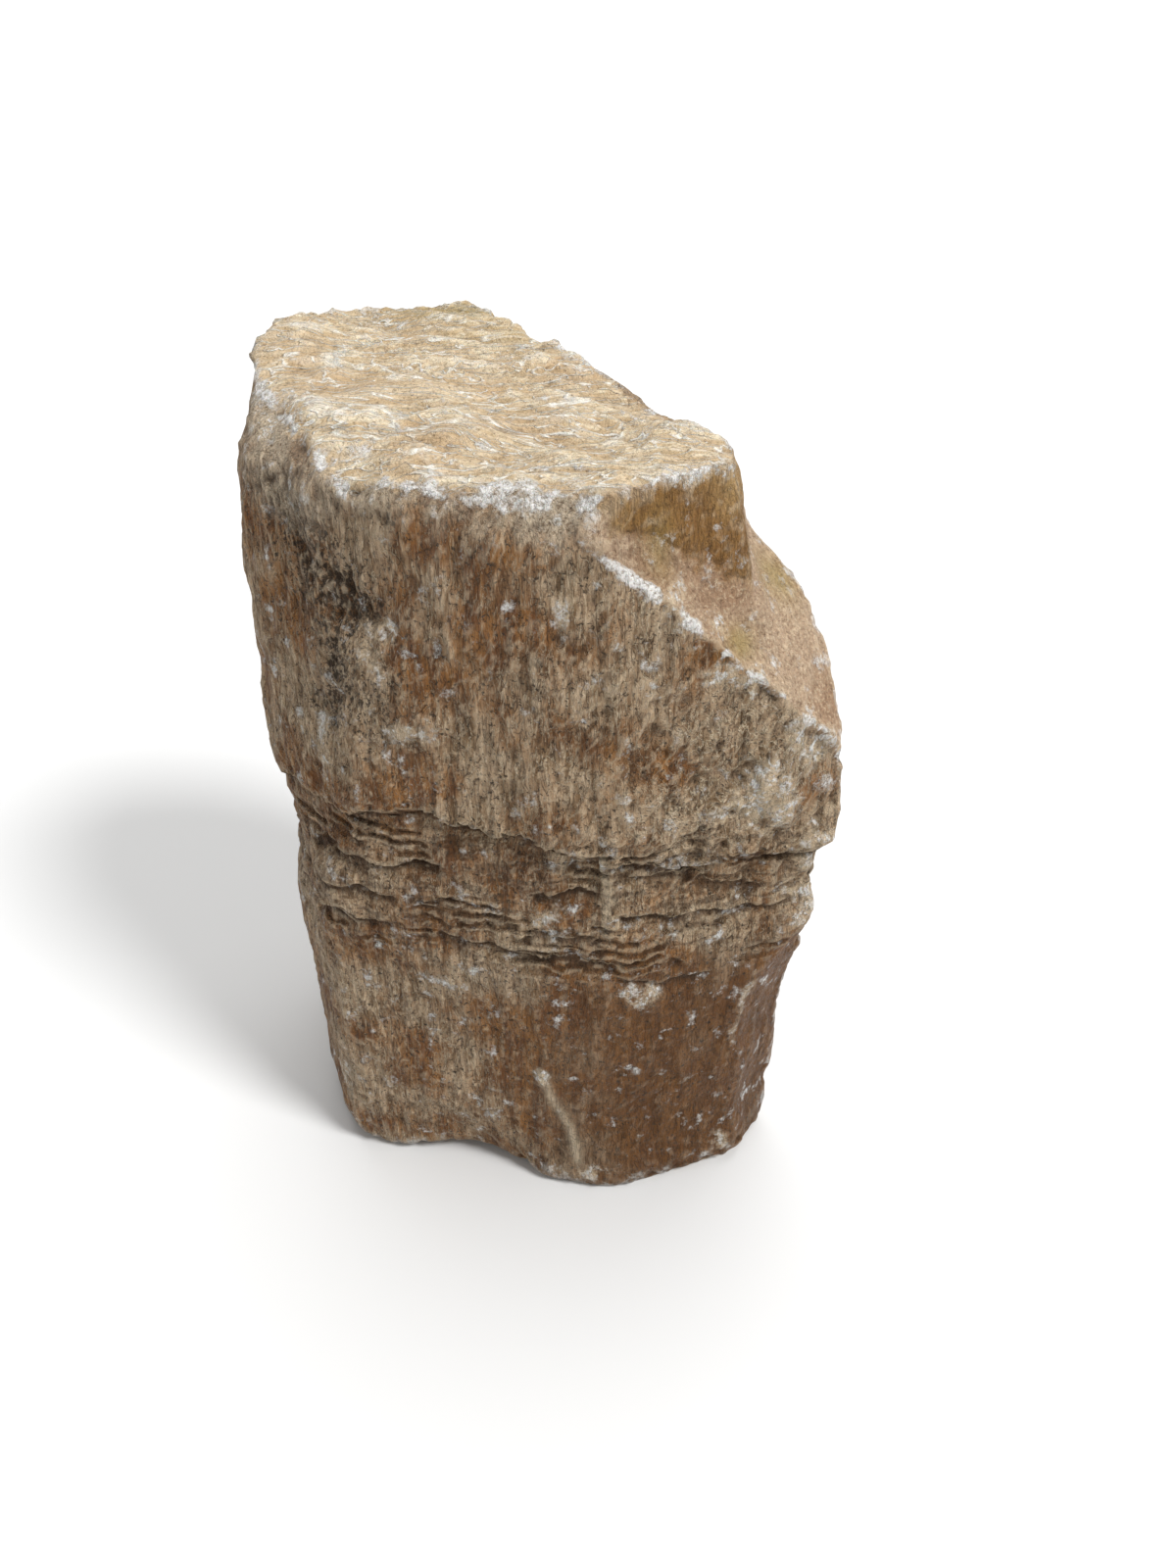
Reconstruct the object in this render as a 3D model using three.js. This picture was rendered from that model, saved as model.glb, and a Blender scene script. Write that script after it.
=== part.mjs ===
// A honeycomb calcite specimen: one rough block of banded, fibrous calcite that stands on a small flat spot.
//
// Millimetres, +Z up. The origin is on the surface the block stands on, in the middle of its bounding box.
// -Y is the front: a tall face crossed at mid height by a belt of growth ledges, under a nearly level top.
// A corner is broken away at the upper right, which leaves a short wall above a long slope.
//
// The block is described by a field that is below zero inside the stone, about zero on its skin and
// above zero outside. Each corner of a finely divided box is then moved out from the heart of the stone
// until it meets that skin.

import * as THREE from "three";
import { mergeVertices } from "three/addons/utils/BufferGeometryUtils.js";

// The divided box that becomes the stone, and the point inside it that the skin is measured from.
const BOX = { width: 150, depth: 155, height: 250 };
const DIVISIONS = { x: 20, y: 20, z: 50 };
const HEART = new THREE.Vector3(-5, 0, 128);
const BELT_CROWDING = 0.5; // share of the rows of the box that are drawn in towards the belt of ledges
const REACH = 260; // further from the heart than any part of the skin

// The middle of the block's bounding box, in the coordinates of the faces below.
const FOOTPRINT_MIDDLE = { x: -1.95, y: 1.68 };

// The broad faces. An azimuth of 0 faces the front, 90 the right, 180 the back and -90 the left, and a tilt
// of 90 faces up. Each face passes through a point, and is rounded into the faces listed before it.
const FACES = [
  { name: "front left", azimuth: -14, tilt: -1, through: [-11, -67.5, 125], rounding: 0 },
  { name: "front right", azimuth: 13, tilt: 0, through: [37, -65.5, 60], rounding: 8 },
  { name: "left of front", azimuth: -62, tilt: 0, through: [-78, -37, 60], rounding: 4 },
  { name: "left", azimuth: -92, tilt: 0, through: [-85, 10, 125], rounding: 8 },
  { name: "back left", azimuth: -157, tilt: 0, through: [-54, 57, 125], rounding: 12 },
  { name: "back right", azimuth: 125, tilt: 0, through: [84.5, -51, 125], rounding: 10 },
  { name: "back right bevel", azimuth: 125, tilt: 30, through: [51, -38.5, 250], rounding: 5 },
  { name: "top", azimuth: 0, tilt: 87, through: [-4, -69, 249.5], rounding: 4 },
  { name: "front top bevel", azimuth: -10, tilt: 42, through: [-21, -66, 243], rounding: 5 },
  { name: "left top bevel", azimuth: -60, tilt: 42, through: [-75, -29, 241], rounding: 8 },
  { name: "bottom", azimuth: 0, tilt: -90, through: [0, 0, -0.8], rounding: 7 },
  { name: "left bottom bevel", azimuth: -70, tilt: -48, through: [-80, -30, 5], rounding: 8 },
  { name: "right bottom bevel", azimuth: 50, tilt: -45, through: [64.5, -59, 3], rounding: 6 },
];

// The broken places. What lies outside every wall and outside the floor of one of them has come away.
const BREAKS = [
  {
    name: "upper right corner",
    walls: [
      { azimuth: 31, tilt: 5, through: [25, -60.5, 250] },
      { azimuth: 88, tilt: 7, through: [48, -41, 245] },
    ],
    floor: { azimuth: 60.3, tilt: 37, through: [10.6, -67.8, 242.6] },
    innerRounding: 2.5,
    rimRounding: 1.2,
  },
  {
    name: "upper left scoop",
    walls: [{ azimuth: -43, tilt: 2.6, through: [-59, -52, 162] }],
    floor: { azimuth: -50, tilt: 60, through: [-68, -51, 121] },
    innerRounding: 16,
    rimRounding: 3,
  },
  {
    name: "lower right flank",
    walls: [{ azimuth: 60, tilt: 3, through: [60.5, -59.3, 50] }],
    floor: { azimuth: 45, tilt: -25, through: [77.5, -55, 112] },
    innerRounding: 12,
    rimRounding: 2,
  },
  {
    name: "right waist",
    walls: [{ azimuth: 90, tilt: 0, through: [78.5, -55, 124] }],
    floor: { azimuth: 60, tilt: -55, through: [81, -54, 143] },
    innerRounding: 6,
    rimRounding: 3,
  },
  {
    name: "lower back scar",
    walls: [{ azimuth: 160, tilt: -14, through: [0, 52, 70] }],
    floor: { azimuth: 150, tilt: -60, through: [0, 56, 108] },
    innerRounding: 18,
    rimRounding: 2,
  },
];
const WALL_ROUNDING = 2; // where two walls of one break meet

// Soft hollows, where the depth is positive, and swellings, where it is negative.
const HOLLOWS = [
  { name: "notch under the front", centre: [-30, -62, 2], radius: 20, depth: 5 },
  { name: "pitted left shoulder", centre: [-50, -56, 222], radius: 22, depth: 2.6 },
  { name: "scallop below the top", centre: [14, -72, 238], radius: 12, depth: 2.2 },
  { name: "upper front", centre: [-20, -70, 200], radius: 30, depth: -1.6 },
  { name: "right shoulder", centre: [45, -62, 165], radius: 30, depth: -2 },
  { name: "lower front", centre: [5, -70, 60], radius: 34, depth: -1.5 },
  { name: "lower left front", centre: [-45, -60, 70], radius: 26, depth: 1.6 },
  { name: "dish in the top", centre: [-10, 5, 253], radius: 34, depth: 2.4 },
  { name: "back peak of the top", centre: [-34, 58, 256], radius: 18, depth: -1.8 },
  { name: "left peak of the top", centre: [-74, 40, 252], radius: 16, depth: -1.5 },
  { name: "right of the top", centre: [30, -10, 251], radius: 14, depth: 1.8 },
  { name: "back left of the top", centre: [-62, 46, 252], radius: 26, depth: -1.5 },
  { name: "lump beside the slope", centre: [72, -32, 202], radius: 17, depth: -2.4 },
  { name: "worn right corner", centre: [84, -50, 174], radius: 12, depth: 1.6 },
  { name: "upper left side", centre: [-84, -12, 192], radius: 36, depth: -2 },
  { name: "behind the broken wall", centre: [59, -22, 223], radius: 10, depth: 3.5 },
  { name: "low right rim", centre: [46, -36, 250], radius: 13, depth: 2.2 },
  { name: "scallop in the front rim", centre: [-24, -68, 250], radius: 9, depth: 2.5 },
  { name: "scallop in the left rim", centre: [-44, -55, 252], radius: 7, depth: 2 },
  { name: "scallop in the middle rim", centre: [3, -68, 250], radius: 8, depth: 1.8 },
  { name: "waist of the left side", centre: [-79, -36, 114], radius: 18, depth: 3 },
  { name: "foot of the right side", centre: [70, -50, 22], radius: 14, depth: 2.4 },
];

// The ledges of the belt. Each lip runs from one azimuth and height to another. Below it the skin drops
// in by the depth, and comes back out over the run. The first seven run in a ring all the way round.
const LEDGES = [
  { from: -70, at: 148, to: -24, ending: 156, depth: 3.6, run: 38 },
  { from: -27, at: 154, to: 14, ending: 147, depth: 4.2, run: 40 },
  { from: 12, at: 143, to: 60, ending: 137, depth: 3.4, run: 34 },
  { from: 57, at: 139, to: 118, ending: 150, depth: 3.2, run: 30 },
  { from: 115, at: 151, to: 190, ending: 146, depth: 3.6, run: 34 },
  { from: 187, at: 144, to: 246, ending: 152, depth: 3.4, run: 36 },
  { from: 243, at: 150, to: 293, ending: 148, depth: 3.4, run: 48 },
  { from: -56, at: 141, to: -42, ending: 143, depth: 1.3, run: 5 },
  { from: -60, at: 133, to: -26, ending: 137, depth: 2.3, run: 8 },
  { from: -57, at: 124, to: -36, ending: 122, depth: 1.8, run: 7 },
  { from: -36, at: 124.5, to: -23, ending: 125, depth: 1.5, run: 4 },
  { from: -36, at: 120.5, to: -24, ending: 121, depth: 1.3, run: 4 },
  { from: -35, at: 116.5, to: -24, ending: 117, depth: 1.3, run: 4 },
  { from: -60, at: 113, to: -38, ending: 112, depth: 2, run: 7 },
  { from: -31, at: 112, to: 0, ending: 105.5, depth: 2.2, run: 8 },
  { from: -18, at: 118.5, to: -7, ending: 119, depth: 1.3, run: 5 },
  { from: -6, at: 131, to: 12, ending: 131, depth: 2, run: 6 },
  { from: -9, at: 114.5, to: 13, ending: 114, depth: 1.6, run: 4 },
  { from: 1, at: 110.5, to: 13, ending: 110.5, depth: 1.3, run: 3.5 },
  { from: -9, at: 107, to: 16, ending: 105, depth: 2.4, run: 8 },
  { from: 14, at: 140, to: 46, ending: 128, depth: 1.5, run: 6 },
  { from: 14, at: 126.5, to: 32, ending: 118.5, depth: 2.3, run: 7 },
  { from: 30, at: 119.5, to: 52, ending: 121, depth: 1.4, run: 6 },
  { from: 14, at: 99, to: 38, ending: 96, depth: 1.8, run: 7 },
  { from: 16, at: 108, to: 23, ending: 106.5, depth: 1.4, run: 4 },
  { from: 25, at: 102.5, to: 32, ending: 101, depth: 1.4, run: 4 },
];

// More ledges carry the belt on round the sides and the back. Each value is at least so much, and the
// steps scatter the rest of it over the spread.
const GOLDEN = 0.6180339887;
const FAR_LEDGES = {
  count: 16,
  from: { least: 62, spread: 222, step: GOLDEN },
  at: { least: 100, spread: 44, step: 3 * GOLDEN * GOLDEN },
  length: { least: 18, spread: 26, step: 0.37 },
  depth: { least: 1.2, spread: 1.3, step: 0.71 },
  run: { least: 5, spread: 3, step: 0.53 },
  drift: 3, // the most that one end is above or below the other
};

// No lip is straight: each goes up and down in two sine waves as it goes round. A wave moves on by one radian
// in the given number of degrees of azimuth.
const RIPPLES = [
  { height: 1.1, degrees: 4.3, shift: 1 },
  { height: 0.6, degrees: 1.7, shift: 2 },
];
const LEDGE_END = 3; // degrees over which a ledge fades out at either end
const BEFORE_LEDGE = 90; // an azimuth up to this far short of a ledge's start counts as before it
const LIP_HEIGHT = 0.8; // height over which the skin drops in below a lip
const BELT = { bottom: 60, top: 160 }; // no ledge reaches outside these heights

// Broad waves that keep every face from being flat, from the longest to the shortest.
const WAVES = { count: 9, longest: 150, shrink: 0.86, swell: 0.0075, power: 0.9, phase: 5.1 };

const FLAT_SPOT_SNAP = 0.3; // a corner this close to the surface below is on it
const SLOPE_STEP = 0.5; // how far to either side the slope of the skin is measured
const MIDDLE_PULL = 0.08; // how firmly a corner is held to the middle, where a touching plane counts 1
const LONGEST_OFFSET = 4;
const NEAREST = 1; // nearer to the heart than any part of the skin
const BODY_ROUNDS = 16;
const SKIN_ROUNDS = 16;
const SKIN_BAND = 24; // ledges, hollows and waves move the skin by less than this

function facing(azimuth, tilt) {
  const a = THREE.MathUtils.degToRad(azimuth);
  const t = THREE.MathUtils.degToRad(tilt);
  return new THREE.Vector3(Math.sin(a) * Math.cos(t), -Math.cos(a) * Math.cos(t), Math.sin(t));
}

function asPlane({ azimuth, tilt, through }) {
  const point = new THREE.Vector3(...through);
  return new THREE.Plane().setFromNormalAndCoplanarPoint(facing(azimuth, tilt), point);
}

// The larger of two distances, with the corner between them rounded off over the given width.
function roundedMax(a, b, width) {
  if (width <= 0) return Math.max(a, b);
  const overlap = Math.max(width - Math.abs(a - b), 0) / width;
  return Math.max(a, b) + (overlap * overlap * width) / 4;
}

function roundedMin(a, b, width) {
  return -roundedMax(-a, -b, width);
}

const facePlanes = FACES.map((face) => ({ plane: asPlane(face), rounding: face.rounding }));
const breakPlanes = BREAKS.map((place) => ({
  walls: place.walls.map(asPlane),
  floor: asPlane(place.floor),
  innerRounding: place.innerRounding,
  rimRounding: place.rimRounding,
}));

// The block with its broad faces and its broken places, before ledges and waves.
function body(p) {
  let depth = -REACH;
  for (const { plane, rounding } of facePlanes) {
    depth = roundedMax(depth, plane.distanceToPoint(p), rounding);
  }
  for (const { walls, floor, innerRounding, rimRounding } of breakPlanes) {
    const wall = walls
      .map((plane) => plane.distanceToPoint(p))
      .reduce((a, b) => roundedMax(a, b, WALL_ROUNDING));
    depth = roundedMax(depth, roundedMin(wall, floor.distanceToPoint(p), innerRounding), rimRounding);
  }
  return depth;
}

function farLedges() {
  return Array.from({ length: FAR_LEDGES.count }, (_, i) => {
    const scattered = ({ least, spread, step }) => least + spread * ((i * step) % 1);
    const from = scattered(FAR_LEDGES.from);
    const at = scattered(FAR_LEDGES.at);
    return {
      from,
      at,
      to: from + scattered(FAR_LEDGES.length),
      ending: at + FAR_LEDGES.drift * Math.sin(i),
      depth: scattered(FAR_LEDGES.depth),
      run: scattered(FAR_LEDGES.run),
    };
  });
}

const ledges = [...LEDGES, ...farLedges()];

// How far the ledges of the belt set the skin back.
function setBack(p) {
  if (p.z < BELT.bottom || p.z > BELT.top) return 0;
  const azimuth = THREE.MathUtils.radToDeg(Math.atan2(p.x, -p.y));
  let total = 0;
  for (const { from, at, to, ending, depth, run } of ledges) {
    const along = THREE.MathUtils.euclideanModulo(azimuth - from + BEFORE_LEDGE, 360) - BEFORE_LEDGE;
    const length = to - from;
    const shown = THREE.MathUtils.smoothstep(along, 0, LEDGE_END)
      * THREE.MathUtils.smoothstep(length - along, 0, LEDGE_END);
    if (shown === 0) continue;
    const ripple = RIPPLES.reduce(
      (sum, { height, degrees, shift }) => sum + height * Math.sin(azimuth / degrees + shift * at), 0,
    );
    const below = at + ((ending - at) * along) / length + ripple - p.z;
    total += depth * shown * THREE.MathUtils.clamp(below / LIP_HEIGHT, 0, 1)
      * THREE.MathUtils.clamp(1 - below / run, 0, 1);
  }
  return total;
}

function hollows(p) {
  return HOLLOWS.reduce((total, { centre, radius, depth }) => {
    const away = p.distanceToSquared(new THREE.Vector3(...centre)) / (radius * radius);
    return total + depth * Math.exp(-away);
  }, 0);
}

// The waves run in directions spread evenly over a sphere.
function waves(p) {
  let total = 0;
  for (let i = 0; i < WAVES.count; i += 1) {
    const up = 1 - (2 * (i + 0.5)) / WAVES.count;
    const turn = 2 * Math.PI * i * GOLDEN;
    const flat = Math.sqrt(1 - up * up);
    const along = flat * Math.cos(turn) * p.x + flat * Math.sin(turn) * p.y + up * p.z;
    const length = WAVES.longest * WAVES.shrink ** i;
    total += WAVES.swell * length ** WAVES.power * Math.sin((2 * Math.PI * along) / length + WAVES.phase * i);
  }
  return total;
}

function skin(p) {
  return Math.max(body(p) + hollows(p) + setBack(p) + waves(p), -p.z);
}

// Halves the stretch from near to far again and again, and keeps the half where the field turns positive.
function crossing(direction, near, far, field, rounds) {
  const p = new THREE.Vector3();
  for (let i = 0; i < rounds; i += 1) {
    const middle = (near + far) / 2;
    p.copy(HEART).addScaledVector(direction, middle);
    if (field(p) > 0) far = middle;
    else near = middle;
  }
  return (near + far) / 2;
}

function onSkin(corner) {
  const direction = corner.clone().sub(HEART).normalize();
  const rough = crossing(direction, 0, REACH, body, BODY_ROUNDS);
  const nearest = Math.max(rough - SKIN_BAND, NEAREST);
  const exact = crossing(direction, nearest, rough + SKIN_BAND, skin, SKIN_ROUNDS);
  return HEART.clone().addScaledVector(direction, exact);
}

// Draws a row of the box towards the height of the belt, and leaves the top and bottom rows where they are.
function crowded(height) {
  const half = BOX.height / 2;
  const u = (height - HEART.z) / half;
  return HEART.z + half * u * (1 - BELT_CROWDING + BELT_CROWDING * u * u);
}

// The corners of the divided box, and the four-cornered patches between them.
function dividedBox() {
  const box = new THREE.BoxGeometry(
    BOX.width, BOX.depth, BOX.height, DIVISIONS.x, DIVISIONS.y, DIVISIONS.z,
  );
  box.deleteAttribute("normal");
  box.deleteAttribute("uv");
  const { index, attributes } = mergeVertices(box);
  const corners = Array.from({ length: attributes.position.count }, (_, i) => {
    const corner = new THREE.Vector3().fromBufferAttribute(attributes.position, i).add(HEART);
    corner.z = crowded(corner.z);
    return corner;
  });
  // A patch comes as two triangles, which name its corners in the order 0, 1, 3 and 1, 2, 3.
  const patches = [];
  for (let i = 0; i < index.count; i += 6) {
    patches.push([index.getX(i), index.getX(i + 1), index.getX(i + 4), index.getX(i + 2)]);
  }
  return { corners, patches };
}

function middleOf(points) {
  return points.reduce((sum, p) => sum.add(p), new THREE.Vector3()).divideScalar(points.length);
}

function outward(p) {
  const step = (x, y, z) => skin(new THREE.Vector3(p.x + x, p.y + y, p.z + z));
  const s = SLOPE_STEP;
  return new THREE.Vector3(
    step(s, 0, 0) - step(-s, 0, 0),
    step(0, s, 0) - step(0, -s, 0),
    step(0, 0, s) - step(0, 0, -s),
  ).normalize();
}

// Where the skin has a crease, the planes that touch it on either side meet on the crease. The corner of
// the mesh goes there, and stays close to the middle of the places that were touched.
function meetingOf(touches) {
  const middle = middleOf(touches.map(({ at }) => at));
  const spread = new THREE.Matrix3().identity().multiplyScalar(MIDDLE_PULL);
  const pull = new THREE.Vector3();
  for (const { at, normal } of touches) {
    const n = normal.toArray();
    n.forEach((row, i) => n.forEach((column, j) => {
      spread.elements[3 * i + j] += row * column;
    }));
    pull.addScaledVector(normal, normal.dot(at.clone().sub(middle)));
  }
  const offset = pull.applyMatrix3(spread.invert());
  const p = middle.add(offset.clampLength(0, LONGEST_OFFSET));
  if (p.z < FLAT_SPOT_SNAP) p.z = 0;
  return p;
}

// A patch is folded along whichever of its diagonals lies closer to the skin.
function folded([a, b, c, d], corners) {
  const gap = (i, j) => Math.abs(skin(middleOf([corners[i], corners[j]])));
  return gap(a, c) < gap(b, d) ? [a, b, c, a, c, d] : [a, b, d, b, c, d];
}

function stoneGeometry() {
  const { corners, patches } = dividedBox();
  const touching = corners.map(() => []);
  for (const patch of patches) {
    const at = onSkin(middleOf(patch.map((i) => corners[i])));
    const touch = { at, normal: outward(at) };
    patch.forEach((i) => touching[i].push(touch));
  }
  const settled = touching.map(meetingOf);
  const geometry = new THREE.BufferGeometry().setFromPoints(settled);
  geometry.setIndex(patches.flatMap((patch) => folded(patch, settled)));
  geometry.translate(-FOOTPRINT_MIDDLE.x, -FOOTPRINT_MIDDLE.y, 0);
  geometry.computeVertexNormals();
  return geometry;
}

const calcite = new THREE.MeshStandardMaterial({ color: 0xa98563, roughness: 0.85, metalness: 0 });

const stone = new THREE.Mesh(stoneGeometry(), calcite);
stone.name = "calcite_block";

const specimen = new THREE.Group();
specimen.add(stone);

export default specimen;
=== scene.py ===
"""The looks of a honeycomb calcite specimen: a rough block of banded, fibrous calcite on a pale floor.

The block is built again on the CAD solid's own faces, breaks and ledges, finely enough to carry the relief
of the broken stone: splinters on the top, fibres down the sides, thin lips in the belt, pits and bruised
rims. Face coordinates are millimetres, +Z up, -Y to the front, as in the CAD source.
"""
import math

import bpy
import numpy as np
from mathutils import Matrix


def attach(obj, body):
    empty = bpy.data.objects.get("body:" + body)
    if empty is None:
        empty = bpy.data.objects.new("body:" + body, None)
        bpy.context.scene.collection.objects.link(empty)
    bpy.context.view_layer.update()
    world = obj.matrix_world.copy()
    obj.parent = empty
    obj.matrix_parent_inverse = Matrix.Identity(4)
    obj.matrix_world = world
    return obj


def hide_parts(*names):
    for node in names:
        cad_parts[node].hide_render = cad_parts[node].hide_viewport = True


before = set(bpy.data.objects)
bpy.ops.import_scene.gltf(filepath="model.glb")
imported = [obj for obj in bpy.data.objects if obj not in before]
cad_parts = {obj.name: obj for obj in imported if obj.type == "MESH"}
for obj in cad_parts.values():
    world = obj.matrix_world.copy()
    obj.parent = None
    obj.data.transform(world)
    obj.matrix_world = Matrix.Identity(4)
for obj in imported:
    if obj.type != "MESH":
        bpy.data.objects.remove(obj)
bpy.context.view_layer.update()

MM = 0.001
# The frame's origin, in face coordinates.
FOOTPRINT_MIDDLE = np.array([-1.95, 1.68, 0.0])

# The mesh starts as a divided box, whose corners then move along rays from the heart to the skin.
HEART = np.array([-5.0, 0.0, 128.0])
BOX = np.array([150.0, 155.0, 250.0])
DIVISIONS = ((124, 96, 168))
BELT_CROWDING = 0.3
REACH = 260.0
SKIN_BAND = 24.0
CROSSING_ROUNDS = 15

# name: (azimuth, tilt, a point on the face, rounding into the faces before it)
FACES = {
    "front left": (-14, -1, (-11, -67.5, 125), 0),
    "front right": (13, 0, (37, -65.5, 60), 8),
    "left of front": (-62, 0, (-78, -37, 60), 4),
    "left": (-92, 0, (-85, 10, 125), 8),
    "back left": (-157, 0, (-54, 57, 125), 12),
    "back right": (125, 0, (84.5, -51, 125), 10),
    "back right bevel": (125, 30, (51, -38.5, 250), 5),
    "top": (0, 87, (-4, -69, 249.5), 4),
    "front top bevel": (-10, 42, (-21, -66, 243), 5),
    "left top bevel": (-60, 42, (-75, -29, 241), 8),
    "bottom": (0, -90, (0, 0, -0.8), 7),
    "left bottom bevel": (-70, -48, (-80, -30, 5), 8),
    "right bottom bevel": (50, -45, (64.5, -59, 3), 6),
}

# name: (walls, floor, rounding between them, rounding at the rim)
BREAKS = {
    "upper right corner": (
        ((31, 5, (25, -60.5, 250)), (88, 7, (48, -41, 245))), (60.3, 37, (10.6, -67.8, 242.6)), 2.5, 1.2),
    "upper left scoop": (((-43, 2.6, (-59, -52, 162)),), (-50, 60, (-68, -51, 121)), 16, 3),
    "lower right flank": (((60, 3, (60.5, -59.3, 50)),), (45, -25, (77.5, -55, 112)), 12, 2),
    "right waist": (((90, 0, (78.5, -55, 124)),), (60, -55, (81, -54, 143)), 6, 3),
    "lower back scar": (((160, -14, (0, 52, 70)),), (150, -60, (0, 56, 108)), 18, 2),
}
WALL_ROUNDING = 2

# (centre, radius, depth), where a negative depth is a swelling
HOLLOWS = [
    ((-30, -62, 2), 20, 5),
    ((-50, -56, 222), 22, 2.6),
    ((14, -72, 238), 12, 2.2),
    ((-20, -70, 200), 30, -1.6),
    ((45, -62, 165), 30, -2),
    ((5, -70, 60), 34, -1.5),
    ((-45, -60, 70), 26, 1.6),
    ((-10, 5, 253), 34, 2.4),
    ((-34, 58, 256), 18, -1.8),
    ((-74, 40, 252), 16, -1.5),
    ((30, -10, 251), 14, 1.8),
    ((-62, 46, 252), 26, -1.5),
    ((72, -32, 202), 17, -2.4),
    ((84, -50, 174), 12, 1.6),
    ((-84, -12, 192), 36, -2),
    ((59, -22, 223), 10, 3.5),
    ((46, -36, 250), 13, 2.2),
    ((-24, -68, 250), 9, 2.5),
    ((-44, -55, 252), 7, 2.0),
    ((3, -68, 250), 8, 1.8),
    ((-79, -36, 114), 18, 3),
    ((70, -50, 22), 14, 2.4),
]

# (from azimuth, height, to azimuth, height, depth, run below the lip)
LEDGES = [
    (-70, 148, -24, 156, 3.6, 38),
    (-27, 154, 14, 147, 4.2, 40),
    (12, 143, 60, 137, 3.4, 34),
    (57, 139, 118, 150, 3.2, 30),
    (115, 151, 190, 146, 3.6, 34),
    (187, 144, 246, 152, 3.4, 36),
    (243, 150, 293, 148, 3.4, 48),
    (-56, 141, -42, 143, 1.3, 5),
    (-60, 133, -26, 137, 2.3, 8),
    (-57, 124, -36, 122, 1.8, 7),
    (-36, 124.5, -23, 125, 1.5, 4),
    (-36, 120.5, -24, 121, 1.3, 4),
    (-35, 116.5, -24, 117, 1.3, 4),
    (-60, 113, -38, 112, 2, 7),
    (-31, 112, 0, 105.5, 2.2, 8),
    (-18, 118.5, -7, 119, 1.3, 5),
    (-6, 131, 12, 131, 2, 6),
    (-9, 114.5, 13, 114, 1.6, 4),
    (1, 110.5, 13, 110.5, 1.3, 3.5),
    (-9, 107, 16, 105, 2.4, 8),
    (14, 140, 46, 128, 1.5, 6),
    (14, 126.5, 32, 118.5, 2.3, 7),
    (30, 119.5, 52, 121, 1.4, 6),
    (14, 99, 38, 96, 1.8, 7),
    (16, 108, 23, 106.5, 1.4, 4),
    (25, 102.5, 32, 101, 1.4, 4),
]
LEDGE_END = 3.0
LIP_HEIGHT = 0.8
BEFORE_LEDGE = 90
# The heights that all the ledges keep within.
BELT = (56.0, 164.0)
# What makes a lip wavy: (height, degrees to each radian of the wave, shift with the ledge's height)
RIPPLES = ((1.1, 4.3, 1), (0.6, 1.7, 2))

# The ledges at the back, which the photo doesn't show: each value is (least, spread, step of its scatter)
GOLDEN = 0.6180339887
FAR_LEDGES = 16
FAR_START = (62, 222, GOLDEN)
FAR_HEIGHT = (100, 44, 3 * GOLDEN * GOLDEN)
FAR_LENGTH = (18, 26, 0.37)
FAR_DEPTH = (1.2, 1.3, 0.71)
FAR_RUN = (5, 3, 0.53)
FAR_DRIFT = 3

# The long, low waves over the whole stone.
WAVES = 9
LONGEST_WAVE = 150
WAVE_SHRINK = 0.86
WAVE_HEIGHT = 0.0075
WAVE_POWER = 0.9
WAVE_SHIFT = 5.1

# What stirs the bits of whole coordinates until they show no pattern.
STIR_X = 374761393
STIR_Y = 668265263
STIR_Z = 2147483647
STIR = 1274126177
STIR_AGAIN = 2246822519
ALL_BITS = 0xFFFFFFFF
LOW_BITS = 0xFFFFFF
# How far each seed moves the noise, counted in its features.
SEED_SHIFT = 13.7

# The radius of a pit, as a share of the cell that holds it.
PIT_RADIUS = 0.55


def scattered(i, least, spread, step):
    """Number i of a row of values that are scattered from least to least + spread."""
    return least + spread * (i * step % 1)


def far_ledges():
    for i in range(FAR_LEDGES):
        start = scattered(i, *FAR_START)
        height = scattered(i, *FAR_HEIGHT)
        end = start + scattered(i, *FAR_LENGTH)
        ending = height + FAR_DRIFT * math.sin(i)
        yield start, height, end, ending, scattered(i, *FAR_DEPTH), scattered(i, *FAR_RUN)


ALL_LEDGES = LEDGES + list(far_ledges())


def facing(azimuth, tilt):
    """The way a face looks: azimuth 0 is the front and 90 the right, and tilt 90 is up."""
    a, t = math.radians(azimuth), math.radians(tilt)
    return np.array([math.sin(a) * math.cos(t), -math.cos(a) * math.cos(t), math.sin(t)])


def plane(p, azimuth, tilt, through):
    """How far each point lies out of a face, which is negative inside."""
    return (p - np.array(through, float)) @ facing(azimuth, tilt)


def rounded_max(a, b, width):
    """The larger of two fields, rounded over a width where they meet."""
    if width <= 0:
        return np.maximum(a, b)
    overlap = np.maximum(width - np.abs(a - b), 0) / width
    return np.maximum(a, b) + overlap * overlap * width / 4


def rounded_min(a, b, width):
    """The smaller of two fields, rounded in the same way."""
    return -rounded_max(-a, -b, width)


def smooth(t, low, high):
    """0 up to low and 1 from high on, with a smooth slope between."""
    t = np.clip((t - low) / (high - low), 0, 1)
    return t * t * (3 - 2 * t)


def near(p, centre, radius):
    """1 at the centre, fading out over the radius, which is one number or one for each axis."""
    away = (p - np.array(centre, float)) / np.array(radius, float)
    return np.exp(-(away ** 2).sum(1))


def broken(p, name):
    """The distances to the wall and the floor of one break."""
    walls, floor, _, _ = BREAKS[name]
    wall = plane(p, *walls[0])
    for other in walls[1:]:
        wall = rounded_max(wall, plane(p, *other), WALL_ROUNDING)
    return wall, plane(p, *floor)


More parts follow.
